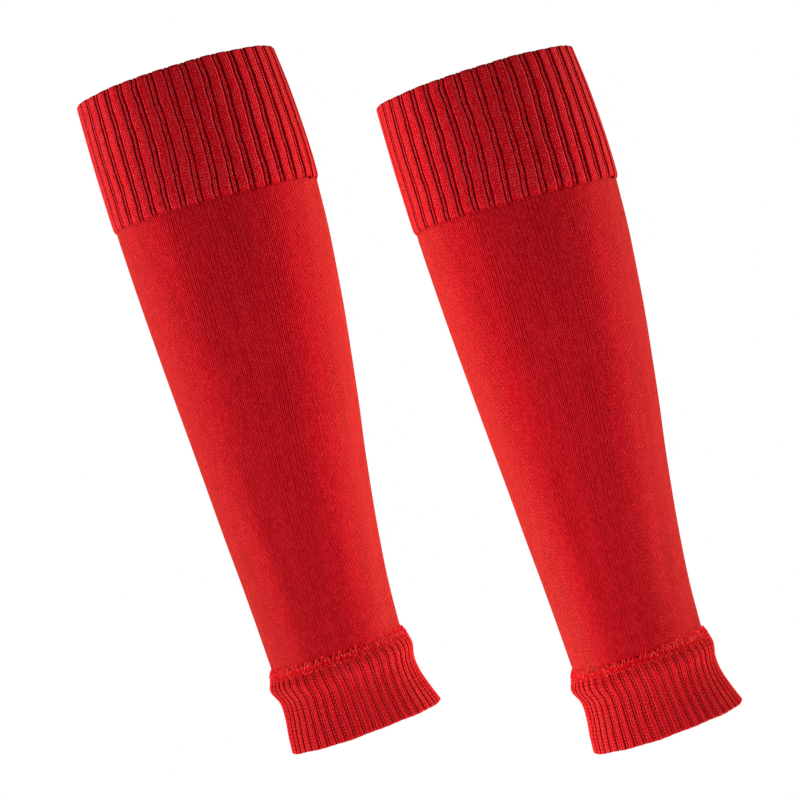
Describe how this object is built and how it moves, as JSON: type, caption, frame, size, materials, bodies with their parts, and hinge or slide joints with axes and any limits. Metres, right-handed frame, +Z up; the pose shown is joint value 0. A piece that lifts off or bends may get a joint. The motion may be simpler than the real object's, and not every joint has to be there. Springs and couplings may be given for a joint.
{
  "type": "pair of footless knitted leg sleeves",
  "caption": "Pair of footless knitted calf sleeves, filled out as worn, with a wide elastic rib cuff at the calf, a plain tapering leg and a flared rib cuff at the ankle.",
  "frame": {"origin": "midway between the two sleeves' axes, at the level of the fullest part of the calf, 45.7 mm below the top rims along the sleeves, where the wearer's legs hold them up", "axes": "+Z up, the sleeves leaning 16.3 degrees with their tops towards -X; +X from the left sleeve of the picture to the right one; -Y is the front that the picture shows"},
  "size_m": [0.3547, 0.114, 0.3771],
  "materials": {
    "red_welt_rib_knit": "matt rib knit with dark elastic lines",
    "red_plain_knit": "matt plain single knit",
    "red_ankle_rib_knit": "matt rib knit"
  },
  "bodies": {
    "root": {"left_top_cuff": "red_welt_rib_knit", "left_leg": "red_plain_knit", "left_bottom_cuff": "red_ankle_rib_knit", "right_top_cuff": "red_welt_rib_knit", "right_leg": "red_plain_knit", "right_bottom_cuff": "red_ankle_rib_knit"}
  },
  "joints": []
}
